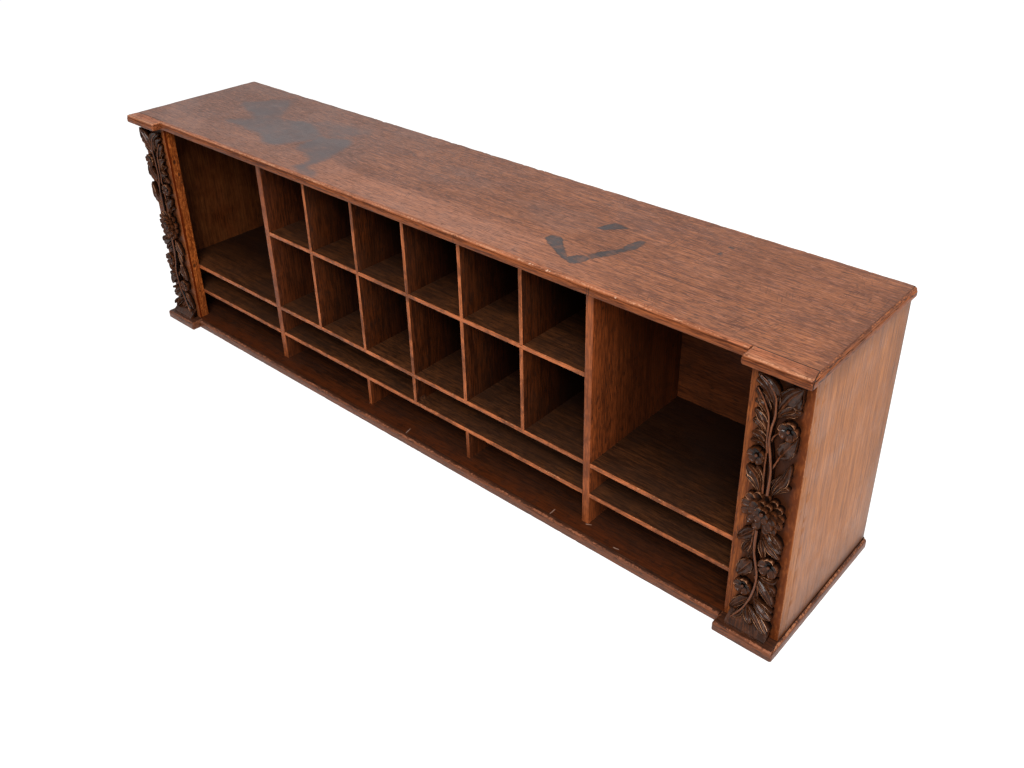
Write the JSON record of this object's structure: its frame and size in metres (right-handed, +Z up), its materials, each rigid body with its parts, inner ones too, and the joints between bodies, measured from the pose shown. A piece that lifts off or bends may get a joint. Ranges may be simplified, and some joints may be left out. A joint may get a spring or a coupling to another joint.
{
  "type": "pigeonhole mail sorter",
  "caption": "Open oak desk cabinet with rows of pigeonholes, flat letter slots and side compartments between two carved pilasters.",
  "frame": {"origin": "middle of the footprint, on the surface the base stands on", "axes": "+X along the length to the right seen from the front, +Y from front to back, +Z up"},
  "size_m": [1.33, 0.269, 0.4096],
  "materials": {
    "top_oak": "worn wax over old stained oak, ink stains",
    "moulded_oak": "worn wax, arrises rubbed bright",
    "base_oak": "dark stained oak, dull wax",
    "end_oak": "thin worn wax over brown oak",
    "back_oak": "dark stained oak",
    "divider_oak": "dark stained oak, front edges rubbed to pale brown",
    "shelf_oak": "dark dusty oak, front edges rubbed to pale brown",
    "pilaster_oak": "orange brown waxed oak",
    "carved_oak": "near-black waxed carving, high points rubbed brown",
    "iron": "dull, rusted"
  },
  "bodies": {
    "root": {"back_nails": "iron", "back_panel": "back_oak", "base_board": "base_oak", "base_front_lipping": "moulded_oak", "base_left_end_strip": "moulded_oak", "base_left_projection": "moulded_oak", "base_right_end_strip": "moulded_oak", "base_right_projection": "moulded_oak", "base_screws": "iron", "bottom_divider_1": "divider_oak", "bottom_divider_2": "divider_oak", "centre_low_shelf": "shelf_oak", "centre_slot_shelf": "shelf_oak", "glue_blocks": "shelf_oak", "left_carving": "carved_oak", "left_end_panel": "end_oak", "left_low_shelf": "shelf_oak", "left_pilaster_face": "pilaster_oak", "left_pilaster_stile": "pilaster_oak", "left_slot_shelf": "shelf_oak", "left_thick_divider": "divider_oak", "letter_divider_1": "divider_oak", "lower_partition_1": "divider_oak", "lower_partition_2": "divider_oak", "lower_partition_3": "divider_oak", "lower_partition_4": "divider_oak", "lower_partition_5": "divider_oak", "middle_shelf": "shelf_oak", "right_carving": "carved_oak", "right_end_panel": "end_oak", "right_low_shelf": "shelf_oak", "right_pilaster_face": "pilaster_oak", "right_pilaster_stile": "pilaster_oak", "right_slot_shelf": "shelf_oak", "right_thick_divider": "divider_oak", "top_board": "top_oak", "top_front_lipping": "moulded_oak", "top_left_end_strip": "moulded_oak", "top_left_projection": "moulded_oak", "top_right_end_strip": "moulded_oak", "top_right_projection": "moulded_oak", "upper_partition_1": "divider_oak", "upper_partition_2": "divider_oak", "upper_partition_3": "divider_oak", "upper_partition_4": "divider_oak", "upper_partition_5": "divider_oak"}
  },
  "joints": []
}
